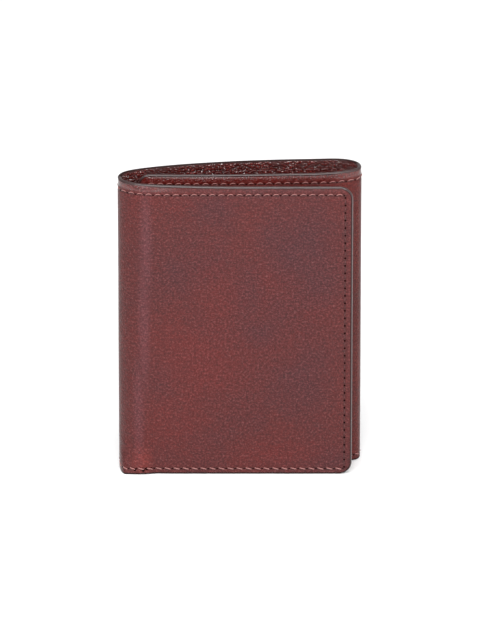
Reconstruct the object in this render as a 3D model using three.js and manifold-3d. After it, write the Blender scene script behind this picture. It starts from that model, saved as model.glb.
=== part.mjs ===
// Trifold leather wallet, closed and standing on its lower edge. Millimetres, +Z up.
//
// Seen from above, the wallet is one long strip folded twice: the front flap (facing -y),
// the left fold (-x), the bulged back panel (+y), the right fold (+x) and the inner flap,
// which lies between the other two panels. Every layer is a ribbon that follows the plan
// curve of the strip: "along" runs on the outer surface from the front flap's free edge to
// the inner flap's free edge, "depth" runs inwards from that surface, and z runs up. The
// strip is parted at four fold lines, where the panels hinge. The origin is the centre of
// the bounding box at the level the wallet stands on.
import * as THREE from "three";
import { mergeVertices } from "three/addons/utils/BufferGeometryUtils.js";
import Module from "manifold-3d";

// ---------------------------------------------------------------- dimensions (mm)
const HEIGHT = 108; // standing height, the strip's width when it is laid flat
const FLAP_LIFT = 0.5; // the free flaps are trimmed this much shorter at the foot
const FOLD_GAP = 0.15; // each side of a fold line
const HINGE_PROUD = 0.6; // a fold's axis stands this far outside the outer leather

const LEATHER = 0.85; // outer leather
const LINING = 0.5; // bonded inside the outer leather
const BOND = 0.05; // clearance between bonded or stitched layers
const SHELL = LEATHER + BOND + LINING;
const SEAM = SHELL + BOND; // depth of a layer stitched down to the lining
const FUSE = 0.1; // overlap that joins two parts of one layer

const DIVIDER = 0.45; // wall between the note compartment and the card pockets
const FOLD_NOTES = SHELL + 0.5; // depth of that wall at the folds and in the back panel
const FLAT_NOTES = SHELL + 0.8; // and in the flat of the front flap
const DIVIDER_TOP = 101;
const DIVIDER_FLAT = 2.4; // width stitched down at the wall's ends
const DIVIDER_RAMP = 2.2; // width over which it rises from there
const DIVIDER_FOLD_RAMP = 3; // width over which it changes level towards the left fold
const DIVIDER_BAND = 2.4; // height of the band that closes the note compartment's foot
const DIVIDER_OVERHANG = 0.4; // past the back card pockets

const LAYER_FOOT = 1; // lowest level of the inner layers
const LAYER_SETBACK = 0.5; // the front flap's inner layers stop this short of its edges

const CARD_WIDTH = 54; // ISO ID-1 card, standing upright
const CARD_GAP = 0.8; // room for one 0.76 mm card in each pocket
const POCKET = 0.42; // pocket leather
const POCKET_FLAT = 2; // width stitched down at each side
const POCKET_RAMP = 1.6;
const RIB_HEIGHT = 1.5; // seam across a pocket, on which the card stands
// Each pocket's mouth is its top edge, its floor the level a card stands at.
const FRONT_POCKETS = [
  { name: "upper", mouth: 90, floor: 13.7 },
  { name: "middle", mouth: 79, floor: 7.7 },
  { name: "lower", mouth: 68, floor: 2.6 },
];
const BACK_POCKETS = [
  { name: "upper", mouth: 88, floor: 9 },
  { name: "lower", mouth: 74, floor: 2.6 },
];

const STITCH_INSET = 3; // stitch line to edge
const HIGH_ROW = HEIGHT - STITCH_INSET;
const LOW_ROW = FLAP_LIFT + STITCH_INSET;
const THREAD_HALF = 0.5 / 2; // half the thread's width
const THREAD_DEPTH = 0.3;
const THREAD_END_GAP = 0.1; // thread to the panel's edge at a fold line
const GROOVE_CLEARANCE = 0.1; // round the thread, at its sides and under it
const GROOVE_MOUTH = 0.6; // a groove's cutter stands this far out of the surface
const GROOVE_OVERRUN = 1; // and runs this far past a fold line

// Window pocket in the inner flap.
const WINDOW = { width: 46, bottom: 14, top: 88 };
const FILM = { thickness: 0.2, overlap: 3.4, foot: 6.3, topInset: 1 };
const FRAME = {
  thickness: 0.5,
  foot: LAYER_FOOT + 0.5,
  bandTop: 6, // top of the band that closes the pocket's foot
  top: WINDOW.top + 6,
  flat: 1.6, // width stitched down at each side
  ramp: 1.2,
  depth: SHELL + CARD_GAP + FILM.thickness + BOND, // of its underside
};
const FRAME_STITCH = { offset: 2, half: 0.35 / 2, depth: 0.2 }; // offset from the window

// The plates that trim the free flaps to shape, from edgeX to farX and across y.
const FRONT_TRIM = { farX: -60, radius: 4.5, y: [-3, 12] };
const INNER_TRIM = { farX: 60, radius: 4, y: [4, 20] };
const CORNER_STEPS = 8;

// Directions of the strip at its four fold lines, in degrees: the front flap runs at
// 180, and the strip turns clockwise.
const FOLD_DIRECTIONS = { frontLeft: 135, backLeft: 52, backRight: -45, frontRight: -135 };

// Plan of the outer surface, x and y, from one free edge to the other.
const PLAN = [
  [38.6, 0], [34, 0], [27, 0], [18, 0], [9, 0], [0, 0], [-9, 0], [-18, 0],
  [-25, 0.05], [-30.5, 0.4], [-35.4, 1.45], [-38.8, 3.2], [-40.7, 5.4], [-41.3, 7.7],
  [-41.05, 9.8], [-40.1, 11.7], [-38.6, 13.1], [-36.8, 14.1], [-33.9, 15.3],
  [-30.4, 16.4], [-27, 17.3], [-20, 18.9], [-13.4, 20.05], [-6.6, 21.05], [0, 21.9],
  [7, 22.55], [14, 23.1], [20.7, 23.45], [27.5, 23.6], [33, 23.3], [36.4, 22.4],
  [38.9, 20.9], [40.6, 18.9], [41.3, 16.5], [41.0, 14.4], [40.0, 13.0], [38.4, 12.05],
  [36, 11.5], [32.6, 11.1], [27.5, 10.75], [17.3, 10.3], [7, 9.85], [-3.2, 9.55],
  [-13.4, 9.4], [-23.6, 9.45], [-30.4, 9.7], [-34.5, 9.95],
];

// Sampling of the plan curve.
const CURVE_STEPS = 3000;
const DIRECTION_STEPS = 2000;
const SEARCH_STEPS = 4000; // when looking for a given x
const TANGENT_REACH = 0.35; // each side of the point
const MAX_BEND = 0.115; // radians between stations
const MAX_FACET = 16; // length between stations
const END_MARGIN = 0.5; // no station closer than this to the strip's end
const MARK_MARGIN = 0.05; // no bend closer than this to a ribbon's ends
const MIN_STEP = 0.02; // between a ribbon's bends

// ---------------------------------------------------------------- the plan curve
const curvePoints = new THREE.CatmullRomCurve3(
  PLAN.map(([x, y]) => new THREE.Vector3(x, y, 0)), false, "centripetal",
).getPoints(CURVE_STEPS);
const lengths = [0];
for (let i = 1; i < curvePoints.length; i++) {
  lengths.push(lengths[i - 1] + curvePoints[i].distanceTo(curvePoints[i - 1]));
}
const END = lengths.at(-1);

function onCurve(along) {
  const target = Math.min(Math.max(along, 0), END);
  let low = 0;
  let high = lengths.length - 1;
  while (high - low > 1) {
    const middle = (low + high) >> 1;
    if (lengths[middle] <= target) low = middle;
    else high = middle;
  }
  const fraction = (target - lengths[low]) / (lengths[high] - lengths[low]);
  return curvePoints[low].clone().lerp(curvePoints[high], fraction);
}

function tangent(along) {
  const before = onCurve(Math.max(along - TANGENT_REACH, 0));
  const after = onCurve(Math.min(along + TANGENT_REACH, END));
  return after.sub(before).normalize();
}

// A point at a depth inside the smooth outer surface.
function inside(along, depth) {
  const point = onCurve(along);
  const heading = tangent(along);
  return [point.x + heading.y * depth, point.y - heading.x * depth];
}

// The strip's direction in radians, unwrapped so that it falls from 180 to about -184
// degrees.
function sampleDirections() {
  const samples = [];
  let last = Math.PI;
  for (let i = 0; i <= DIRECTION_STEPS; i++) {
    const heading = tangent((END * i) / DIRECTION_STEPS);
    let angle = Math.atan2(heading.y, heading.x);
    while (angle - last > Math.PI) angle -= 2 * Math.PI;
    while (last - angle > Math.PI) angle += 2 * Math.PI;
    samples.push(angle);
    last = angle;
  }
  return samples;
}
const directions = sampleDirections();

function directionAt(along) {
  return directions[Math.round((Math.min(along, END) / END) * DIRECTION_STEPS)];
}

function alongAtDirection(degrees) {
  const wanted = (degrees * Math.PI) / 180;
  for (let i = 1; i < directions.length; i++) {
    if (directions[i] <= wanted && directions[i - 1] > wanted) {
      return (END * i) / DIRECTION_STEPS;
    }
  }
  throw new Error("the strip never runs at " + degrees);
}

// The place between from and to whose x is nearest the given one.
function alongAtX(wantedX, from, to) {
  let best = from;
  let bestMiss = Infinity;
  for (let i = 0; i <= SEARCH_STEPS; i++) {
    const along = from + ((to - from) * i) / SEARCH_STEPS;
    const miss = Math.abs(onCurve(along).x - wantedX);
    if (miss < bestMiss) {
      bestMiss = miss;
      best = along;
    }
  }
  return best;
}

const FOLD = Object.fromEntries(
  Object.entries(FOLD_DIRECTIONS).map(([name, degrees]) => [name, alongAtDirection(degrees)]));

// Start and end of each panel along the strip.
const PANEL = {
  front: [0, FOLD.frontLeft - FOLD_GAP],
  left: [FOLD.frontLeft + FOLD_GAP, FOLD.backLeft - FOLD_GAP],
  back: [FOLD.backLeft + FOLD_GAP, FOLD.backRight - FOLD_GAP],
  right: [FOLD.backRight + FOLD_GAP, FOLD.frontRight - FOLD_GAP],
  inner: [FOLD.frontRight + FOLD_GAP, END],
};

// Every ribbon bends at the same stations, so that neighbouring layers stay parallel.
function findStations() {
  const found = [0];
  const step = END / DIRECTION_STEPS;
  const folds = Object.values(FOLD);
  let along = 0;
  let lastDirection = directionAt(0);
  let facetStart = 0;
  while (along < END) {
    along += step;
    const crossed = folds.some((fold) => fold > along - step && fold <= along);
    const bent = Math.abs(directionAt(along) - lastDirection) > MAX_BEND;
    if (crossed || bent || along - facetStart > MAX_FACET) {
      if (along < END - END_MARGIN) found.push(along);
      lastDirection = directionAt(along);
      facetStart = along;
    }
  }
  found.push(END);
  return found;
}
const stations = findStations();

// A point at a depth inside the faceted outer surface, straight between stations.
function place(along, depth) {
  let i = 1;
  while (i < stations.length - 1 && stations[i] < along) i++;
  const from = stations[i - 1];
  const to = stations[i];
  const fraction = Math.min(Math.max((along - from) / (to - from), 0), 1);
  const [fromX, fromY] = inside(from, depth);
  const [toX, toY] = inside(to, depth);
  return [fromX + (toX - fromX) * fraction, fromY + (toY - fromY) * fraction];
}

// ---------------------------------------------------------------- solids
const wasm = await Module();
wasm.setup();

function toSolid(geometry) {
  const positions = new THREE.BufferGeometry()
    .setAttribute("position", geometry.getAttribute("position"));
  const merged = mergeVertices(positions, 1e-4);
  return new wasm.Manifold(new wasm.Mesh({
    numProp: 3,
    vertProperties: new Float32Array(merged.attributes.position.array),
    triVerts: new Uint32Array(merged.index.array),
  }));
}

// Flat-shaded geometry of a solid.
function toGeometry(solid) {
  const mesh = solid.getMesh();
  const geometry = new THREE.BufferGeometry()
    .setAttribute("position", new THREE.BufferAttribute(mesh.vertProperties, 3))
    .setIndex(new THREE.BufferAttribute(mesh.triVerts, 1))
    .toNonIndexed();
  geometry.computeVertexNormals();
  return geometry;
}

function extrude(outline, depth) {
  const shape = new THREE.Shape(outline.map(([x, y]) => new THREE.Vector2(x, y)));
  shape.closePath();
  return new THREE.ExtrudeGeometry(shape, { depth, bevelEnabled: false, steps: 1 });
}

// A wall that follows the strip from start to end, between the depths outer and inner,
// from z0 up to z1. A depth is a number, or a function of along that bends at marks.
function ribbon(start, end, outer, inner, z0, z1, marks = []) {
  const bends = [...stations, ...marks]
    .filter((along) => along > start + MARK_MARGIN && along < end - MARK_MARGIN);
  const places = [start, ...bends, end]
    .sort((first, second) => first - second)
    .filter((along, i, all) => i === 0 || along - all[i - 1] > MIN_STEP);
  const side = (depth) => places.map(
    (along) => place(along, typeof depth === "function" ? depth(along) : depth));
  const geometry = extrude([...side(outer), ...side(inner).reverse()], z1 - z0);
  geometry.translate(0, 0, z0);
  return toSolid(geometry);
}

// A depth that runs straight between points [along, depth] and level beyond them.
function profile(...points) {
  const depthAt = (along) => {
    const next = points.findIndex(([mark]) => along < mark);
    if (next === 0) return points[0][1];
    if (next < 0) return points.at(-1)[1];
    const [from, fromDepth] = points[next - 1];
    const [to, toDepth] = points[next];
    return fromDepth + ((toDepth - fromDepth) * (along - from)) / (to - from);
  };
  return { depthAt, marks: points.map(([mark]) => mark) };
}

// A profile that is stitched down near both ends and stands at middle between them.
function hatProfile({ start, end, startDepth, endDepth, middle, flat, ramp }) {
  return profile(
    [start + flat, startDepth],
    [start + flat + ramp, middle],
    [end - flat - ramp, middle],
    [end - flat, endDepth]);
}

// A ribbon of even thickness whose outer side follows a profile.
function leaf(start, end, { depthAt, marks }, thickness, z0, z1) {
  return ribbon(start, end, depthAt, (along) => depthAt(along) + thickness, z0, z1, marks);
}

// A plate standing in the xz plane that keeps a free flap inside its outline, with two
// rounded corners at edgeX. The setback shrinks the outline on its three free sides.
function trimPlate(freeX, { farX, radius, y: [y0, y1] }, setback = 0) {
  const towardsFar = Math.sign(farX - freeX);
  const edgeX = freeX + towardsFar * setback;
  const corner = radius - setback;
  const bottom = FLAP_LIFT + setback;
  const top = HEIGHT - setback;
  const angles = Array.from(
    { length: CORNER_STEPS + 1 }, (_, i) => (i / CORNER_STEPS) * (Math.PI / 2));
  const outline = [
    [farX, bottom],
    ...angles.map((angle) => [
      edgeX + towardsFar * corner * (1 - Math.sin(angle)),
      bottom + corner * (1 - Math.cos(angle)),
    ]),
    ...angles.map((angle) => [
      edgeX + towardsFar * corner * (1 - Math.cos(angle)),
      top - corner * (1 - Math.sin(angle)),
    ]),
    [farX, top],
  ];
  const geometry = extrude(outline, y1 - y0);
  geometry.rotateX(Math.PI / 2); // the thickness now runs from y = 0 towards -y
  geometry.translate(0, y1, 0);
  return toSolid(geometry);
}

// ---------------------------------------------------------------- materials
const matte = (color, roughness, options = {}) =>
  new THREE.MeshStandardMaterial({ color, roughness, metalness: 0, ...options });
const material = {
  leather: matte(0x74403f, 0.42),
  lining: matte(0x552526, 0.3),
  pocket: matte(0x6b3536, 0.45),
  thread: matte(0xa5605c, 0.7),
  film: matte(0xe8eef0, 0.12, { transparent: true, opacity: 0.35 }),
};

const root = new THREE.Group();
function add(name, solid, surface) {
  const mesh = new THREE.Mesh(toGeometry(solid), surface);
  mesh.name = name;
  root.add(mesh);
}

// ---------------------------------------------------------------- outer stitching
// A row runs level at z; an upright line joins the two rows. Each has a groove.
function rowThread([start, end], z) {
  return ribbon(start, end, 0, THREAD_DEPTH, z - THREAD_HALF, z + THREAD_HALF);
}

function rowGroove([start, end], z) {
  const half = THREAD_HALF + GROOVE_CLEARANCE;
  return ribbon(start, end, -GROOVE_MOUTH, THREAD_DEPTH + GROOVE_CLEARANCE, z - half, z + half);
}

function uprightThread(along) {
  return ribbon(along - THREAD_HALF, along + THREAD_HALF, 0, THREAD_DEPTH,
    LOW_ROW - THREAD_HALF, HIGH_ROW + THREAD_HALF);
}

function uprightGroove(along) {
  const half = THREAD_HALF + GROOVE_CLEARANCE;
  return ribbon(along - half, along + half, -GROOVE_MOUTH, THREAD_DEPTH + GROOVE_CLEARANCE,
    LOW_ROW - half, HIGH_ROW + half);
}

// rowSpan gives a row's start and end for an overrun past the panel's fold lines.
function cutRowGrooves(leather, rowSpan) {
  const span = rowSpan(GROOVE_OVERRUN);
  return leather.subtract(rowGroove(span, HIGH_ROW)).subtract(rowGroove(span, LOW_ROW));
}

// ---------------------------------------------------------------- shell panels
// A flap with one free edge, and an upright stitch line beside that edge.
function addFlapShell(prefix, [start, end], rowSpan, upright, trim) {
  const leather = ribbon(start, end, 0, LEATHER, FLAP_LIFT, HEIGHT).intersect(trim);
  add(prefix + "_outer_leather",
    cutRowGrooves(leather, rowSpan).subtract(uprightGroove(upright)), material.leather);
  add(prefix + "_lining",
    ribbon(start, end, LEATHER + BOND, SHELL, FLAP_LIFT, HEIGHT).intersect(trim),
    material.lining);
  const span = rowSpan(-THREAD_END_GAP);
  add(prefix + "_edge_stitching",
    rowThread(span, HIGH_ROW).add(rowThread(span, LOW_ROW)).add(uprightThread(upright)),
    material.thread);
}

// A full-height panel between two fold lines.
function addPanelShell(prefix, [start, end]) {
  const rowSpan = (overrun) => [start - overrun, end + overrun];
  add(prefix + "_outer_leather",
    cutRowGrooves(ribbon(start, end, 0, LEATHER, 0, HEIGHT), rowSpan), material.leather);
  add(prefix + "_lining",
    ribbon(start, end, LEATHER + BOND, SHELL, 0, HEIGHT), material.lining);
}

function addPanelStitching(prefix, [start, end]) {
  const span = [start + THREAD_END_GAP, end - THREAD_END_GAP];
  add(prefix + "_stitching_top", rowThread(span, HIGH_ROW), material.thread);
  add(prefix + "_stitching_bottom", rowThread(span, LOW_ROW), material.thread);
}

// ---------------------------------------------------------------- inner layers
// The note compartment's wall, with a band along its foot that reaches the lining.
function billDivider(start, end, wall) {
  const band = ribbon(start, end, SEAM, (along) => wall.depthAt(along) + FUSE,
    LAYER_FOOT, LAYER_FOOT + DIVIDER_BAND, wall.marks);
  return leaf(start, end, wall, DIVIDER, LAYER_FOOT, DIVIDER_TOP).add(band);
}

// Card pockets stacked on the divider, each stitched down at its two sides and open at
// its mouth. wallStart, wallEnd and wallMiddle are the depths of the divider under them.
function addCardPockets({ prefix, pockets, start, end, wallStart, wallEnd, wallMiddle, trim }) {
  pockets.forEach(({ name, mouth, floor }, k) => {
    const stitched = DIVIDER + BOND + k * (POCKET + BOND);
    const face = wallMiddle + DIVIDER + k * (CARD_GAP + POCKET); // what the card lies on
    const middle = face + CARD_GAP;
    const shape = hatProfile({
      start,
      end,
      startDepth: wallStart + stitched,
      endDepth: wallEnd + stitched,
      middle,
      flat: POCKET_FLAT,
      ramp: POCKET_RAMP,
    });
    const rib = ribbon(shape.marks[1], shape.marks[2], face + BOND, middle + FUSE,
      floor - RIB_HEIGHT, floor);
    const pocket = leaf(start, end, shape, POCKET, LAYER_FOOT, mouth).add(rib);
    add(`${prefix}_card_pocket_${name}`, trim ? pocket.intersect(trim) : pocket,
      material.pocket);
  });
}

// ---------------------------------------------------------------- front flap
function addFrontFlap() {
  const [, foldEnd] = PANEL.front;
  const freeX = PLAN[0][0];
  const rowSpan = (overrun) => [STITCH_INSET, foldEnd + overrun];
  addFlapShell("front", PANEL.front, rowSpan, STITCH_INSET, trimPlate(freeX, FRONT_TRIM));

  const trim = trimPlate(freeX, FRONT_TRIM, LAYER_SETBACK);
  const start = LAYER_SETBACK;
  const pocketsEnd = alongAtX(-20.5, 50, 70);
  // Down at the free edge, higher in the flat, and level with the fold's wall at the fold.
  const wall = profile(
    [start + DIVIDER_FLAT, SEAM],
    [start + DIVIDER_FLAT + DIVIDER_RAMP, FLAT_NOTES],
    [pocketsEnd, FLAT_NOTES],
    [pocketsEnd + DIVIDER_FOLD_RAMP, FOLD_NOTES]);
  add("front_bill_divider", billDivider(start, foldEnd, wall).intersect(trim),
    material.pocket);
  addCardPockets({
    prefix: "front",
    pockets: FRONT_POCKETS,
    start,
    end: pocketsEnd,
    wallStart: SEAM,
    wallEnd: FLAT_NOTES,
    wallMiddle: FLAT_NOTES,
    trim,
  });
}

// ---------------------------------------------------------------- folds
function addLeftFold() {
  addPanelShell("left_fold", PANEL.left);
  add("left_fold_bill_divider",
    ribbon(...PANEL.left, FOLD_NOTES, FOLD_NOTES + DIVIDER, LAYER_FOOT, DIVIDER_TOP),
    material.pocket);
  addPanelStitching("left_fold", PANEL.left);
}

function addRightFold() {
  addPanelShell("right_fold", PANEL.right);
  addPanelStitching("right_fold", PANEL.right);
}

// ---------------------------------------------------------------- back panel
function addBackPanel() {
  addPanelShell("back", PANEL.back);
  addPanelStitching("back", PANEL.back);

  const pocketsStart = alongAtX(-24, 90, 115);
  const pocketsEnd = alongAtX(35.2, 150, 168);
  const wallEnd = pocketsEnd + DIVIDER_OVERHANG;
  const wall = profile(
    [wallEnd - DIVIDER_FLAT - DIVIDER_RAMP, FOLD_NOTES],
    [wallEnd - DIVIDER_FLAT, SEAM]);
  add("back_bill_divider", billDivider(PANEL.back[0], wallEnd, wall), material.pocket);
  addCardPockets({
    prefix: "back",
    pockets: BACK_POCKETS,
    start: pocketsStart,
    end: pocketsEnd,
    wallStart: FOLD_NOTES,
    wallEnd: SEAM,
    wallMiddle: FOLD_NOTES,
  });
}

// ---------------------------------------------------------------- inner flap
function addInnerFlap() {
  const upright = END - STITCH_INSET;
  const rowSpan = (overrun) => [PANEL.inner[0] - overrun, upright];
  const trim = trimPlate(PLAN.at(-1)[0], INNER_TRIM);
  addFlapShell("inner", PANEL.inner, rowSpan, upright, trim);
}

// The stitch line round the window, in the face of the frame. With a clearance and a
// mouth it is the cutter for its groove.
function windowStitching(windowStart, windowEnd, clearance, mouth) {
  const { offset, half, depth } = FRAME_STITCH;
  const face = FRAME.depth + FRAME.thickness;
  const start = windowStart - offset;
  const end = windowEnd + offset;
  const low = WINDOW.bottom - offset;
  const high = WINDOW.top + offset;
  return [
    [start - half, end + half, low - half, low + half],
    [start - half, end + half, high - half, high + half],
    [start - half, start + half, low, high],
    [end - half, end + half, low, high],
  ]
    .map(([from, to, z0, z1]) => ribbon(from - clearance, to + clearance,
      face - depth - clearance / 2, face + mouth, z0 - clearance, z1 + clearance))
    .reduce((joined, line) => joined.add(line));
}

// Window pocket: a leather frame stitched down at its sides and foot, with a clear film
// behind its opening and room for one card between the film and the lining.
function addWindowPocket() {
  const start = alongAtX(31.5, 180, 200);
  const end = alongAtX(-28.5, 240, END);
  const middle = (start + end) / 2;
  const windowStart = middle - WINDOW.width / 2;
  const windowEnd = middle + WINDOW.width / 2;
  const shape = hatProfile({
    start,
    end,
    startDepth: SEAM,
    endDepth: SEAM,
    middle: FRAME.depth,
    flat: FRAME.flat,
    ramp: FRAME.ramp,
  });
  const footBand = ribbon(shape.marks[1], shape.marks[2], SEAM, FRAME.depth + FUSE,
    FRAME.foot, FRAME.bandTop);
  const opening = ribbon(windowStart, windowEnd, FRAME.depth - 1, FRAME.depth + 2,
    WINDOW.bottom, WINDOW.top);
  add("id_window_frame",
    leaf(start, end, shape, FRAME.thickness, FRAME.foot, FRAME.top)
      .add(footBand)
      .subtract(opening)
      .subtract(windowStitching(windowStart, windowEnd, GROOVE_CLEARANCE, GROOVE_MOUTH)),
    material.pocket);
  const filmBack = FRAME.depth - BOND;
  add("id_window_film",
    ribbon(windowStart - FILM.overlap, windowEnd + FILM.overlap,
      filmBack - FILM.thickness, filmBack, FILM.foot, FRAME.top - FILM.topInset),
    material.film);
  add("id_window_stitching", windowStitching(windowStart, windowEnd, 0, 0), material.thread);
}

addFrontFlap();
addLeftFold();
addBackPanel();
addRightFold();
addInnerFlap();
addWindowPocket();

// ---------------------------------------------------------------- frame of the part
const box = new THREE.Box3().setFromObject(root);
root.position.set(-(box.min.x + box.max.x) / 2, -(box.min.y + box.max.y) / 2, -box.min.z);

// Where the fold lines' upright hinge axes stand, x and y, after that shift.
root.userData.hingeAxes = Object.fromEntries(Object.entries(FOLD).map(([name, along]) => {
  const [x, y] = inside(along, -HINGE_PROUD);
  return [name, [x + root.position.x, y + root.position.y]];
}));
root.userData.cardWidth = CARD_WIDTH;

export default root;
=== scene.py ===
# Trifold leather wallet standing on its lower edge, z up, seen from -y with +x on the right.
# One strip of leather runs along the front (-y) from right to left, round the left fold (-x),
# along the back (+y) to the right fold (+x), and ends as a flap inside, behind the front one.
# Bill divider, card pockets, window pocket and stitching lie on it; a plain studio surrounds it.
#
# Most shapes are given on the strip laid out flat, in mm: "run" along the strip from the
# front flap's free edge, "z" up, and "depth" inwards from the outer face. A "site" is a row
# (run, z, depth). place() rolls sites up into world metres.
import math
from collections import namedtuple

import bpy
import numpy as np
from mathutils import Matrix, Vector


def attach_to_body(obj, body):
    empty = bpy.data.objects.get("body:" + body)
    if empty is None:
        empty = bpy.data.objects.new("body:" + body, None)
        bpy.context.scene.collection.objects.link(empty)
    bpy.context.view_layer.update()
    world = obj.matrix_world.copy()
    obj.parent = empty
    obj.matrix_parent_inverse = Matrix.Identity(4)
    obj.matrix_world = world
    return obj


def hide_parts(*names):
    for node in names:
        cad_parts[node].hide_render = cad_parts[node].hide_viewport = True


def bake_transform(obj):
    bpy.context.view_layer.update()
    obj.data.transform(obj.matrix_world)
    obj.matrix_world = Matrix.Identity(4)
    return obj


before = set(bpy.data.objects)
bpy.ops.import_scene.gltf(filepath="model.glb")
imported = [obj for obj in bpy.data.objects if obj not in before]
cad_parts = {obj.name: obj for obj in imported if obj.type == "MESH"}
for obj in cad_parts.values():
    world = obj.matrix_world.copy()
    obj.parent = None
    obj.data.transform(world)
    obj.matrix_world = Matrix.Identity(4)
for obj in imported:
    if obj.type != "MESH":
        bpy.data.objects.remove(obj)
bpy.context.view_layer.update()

# ------------------------------------------------------------------ dimensions (mm)
HEIGHT = 108.0
SHELL = 1.40                   # leather and lining together
PITCH, INSET = 3.05, 3.0       # seam pitch; seam distance from the free edges
FRONT_SEAM = 2.6               # run of the upright seam on the front flap
HIGH, LOW = 104.15, 2.2        # heights of the two long seams
FOLD_REACH = 4.4               # how far a fold's bending spreads past its turning points
BACK_MID = 126.0               # run near the middle of the back panel
SHIFT = np.array([-0.0019, -11.7348])   # plan to world, x and y

# Plan of the outer face, seen from above: (x, y) from the front flap's free edge onwards.
PLAN = np.array([
    (38.6, 0), (34, 0), (27, 0), (18, 0), (9, 0), (0, 0), (-9, 0), (-18, 0), (-25, 0.05),
    (-30.5, 0.4), (-35.4, 1.45), (-38.8, 3.2), (-40.7, 5.4), (-41.3, 7.7), (-41.05, 9.8),
    (-40.1, 11.7), (-38.6, 13.1), (-36.8, 14.1), (-33.9, 15.3), (-30.4, 16.4), (-27, 17.3),
    (-20, 18.9), (-13.4, 20.05), (-6.6, 21.05), (0, 21.9), (7, 22.55), (14, 23.1),
    (20.7, 23.45), (27.5, 23.6), (33, 23.3), (36.4, 22.4), (38.9, 20.9), (40.6, 18.9),
    (41.3, 16.5), (41.0, 14.4), (40.0, 13.0), (38.4, 12.05), (36, 11.5), (32.6, 11.1),
    (27.5, 10.75), (17.3, 10.3), (7, 9.85), (-3.2, 9.55), (-13.4, 9.4), (-23.6, 9.45),
    (-30.4, 9.7), (-34.5, 9.95)], float)


# ------------------------------------------------------------------ the rolled-up strip
def between(time, start, end, first, last):
    return (end - time) / (end - start) * first + (time - start) / (end - start) * last


def spline(points, steps=64):
    """Centripetal Catmull-Rom curve through the points."""
    padded = np.vstack([2 * points[0] - points[1], points, 2 * points[-1] - points[-2]])
    out = []
    for i in range(1, len(padded) - 2):
        quad = padded[i - 1:i + 3]
        gaps = np.sqrt(np.linalg.norm(np.diff(quad, axis=0), axis=1))
        knots = np.r_[0, np.cumsum(gaps)]
        time = np.linspace(knots[1], knots[2], steps, endpoint=False)[:, None]
        level = [between(time, knots[k], knots[k + 1], quad[k], quad[k + 1]) for k in range(3)]
        level = [between(time, knots[k], knots[k + 2], level[k], level[k + 1]) for k in range(2)]
        out.append(between(time, knots[1], knots[2], *level))
    out.append(points[-1][None])
    return np.vstack(out)


def unit(vector):
    return vector / np.linalg.norm(vector, axis=-1, keepdims=True)


CURVE = spline(PLAN)
ARC = np.r_[0, np.cumsum(np.linalg.norm(np.diff(CURVE, axis=0), axis=1))]
END = float(ARC[-1])
START_WAY, END_WAY = unit(CURVE[1] - CURVE[0]), unit(CURVE[-1] - CURVE[-2])


def on_curve(run):
    """Plan point at a run; beyond either free edge the curve goes straight on."""
    run = np.asarray(run, float)
    point = np.stack([np.interp(run, ARC, CURVE[:, 0]), np.interp(run, ARC, CURVE[:, 1])], -1)
    before, beyond = np.minimum(run, 0), np.maximum(run - END, 0)
    return point + np.multiply.outer(before, START_WAY) + np.multiply.outer(beyond, END_WAY)


def heading(run):
    run = np.asarray(run, float)
    return unit(on_curve(run + 0.6) - on_curve(run - 0.6))


def smooth(start, end, value):
    share = np.clip((np.asarray(value, float) - start) / (end - start), 0, 1)
    return share * share * (3 - 2 * share)


def bell(value, centre, width):
    return np.exp(-((value - centre) / width) ** 2)


def run_at_x(x, low, high):
    runs = np.linspace(low, high, 4001)
    return runs[np.argmin(np.abs(on_curve(runs)[:, 0] - x))]


def run_at_angle(degrees, low, high):
    runs = np.linspace(low, high, 4001)
    way = heading(runs)
    angles = np.degrees(np.unwrap(np.arctan2(way[:, 1], way[:, 0])))
    return runs[np.argmin(np.abs(angles - degrees))]


# Runs where each fold starts and ends its turn
LEFT_START, LEFT_END = run_at_angle(135, 70, 84), run_at_angle(52, 82, 95)
RIGHT_START, RIGHT_END = run_at_angle(-45, 160, 175), run_at_angle(-135, 172, 184)
LEFT_MID, RIGHT_MID = (LEFT_START + LEFT_END) / 2, (RIGHT_START + RIGHT_END) / 2


def place(run, depth, z):
    """Site on the flat strip to world metres."""
    run, depth, z = np.broadcast_arrays(*(np.asarray(v, float) for v in (run, depth, z)))
    point, way = on_curve(run), heading(run)
    # the right fold stands a little further back at its top than at its foot
    lean = smooth(152, 172, run) * (1 - smooth(177, 189, run)) * 2.6 * (z / HEIGHT - 0.5)
    # the left fold is squarer at its foot, where the thick bottom seam stops it rolling
    square = (smooth(66, 71, run) * (1 - smooth(78.5, 83.5, run))
              * np.exp(-(np.maximum(z, 0) / 6.0) ** 2))
    # both folds stand slightly further out than the plan
    right_out = 0.34 * smooth(165, 171, run) * (1 - smooth(177, 183, run))
    left_out = 0.03 * smooth(75, 80, run) * (1 - smooth(87, 92, run))
    x = point[..., 0] + way[..., 1] * depth + right_out - left_out
    y = point[..., 1] - way[..., 0] * depth + lean - square * (point[..., 1] * 0.9 + 0.55)
    return np.stack([(x + SHIFT[0]) / 1e3, (y + SHIFT[1]) / 1e3, z / 1e3], -1)


def place_sites(sites):
    return place(sites[:, 0], sites[:, 2], sites[:, 1])


def foot(run):
    """The lower edge is lifted slightly on the two flaps."""
    return 0.12 * (1 - smooth(71.2, 73.4, run) * (1 - smooth(RIGHT_END - 0.5, RIGHT_END + 2.5, run)))


def head(run):
    """The flaps' upper edges sit a touch lower than the back's."""
    return HEIGHT - 0.75 * (1 - smooth(40, 78, run)) - 0.35 * smooth(176, 196, run)


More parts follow.
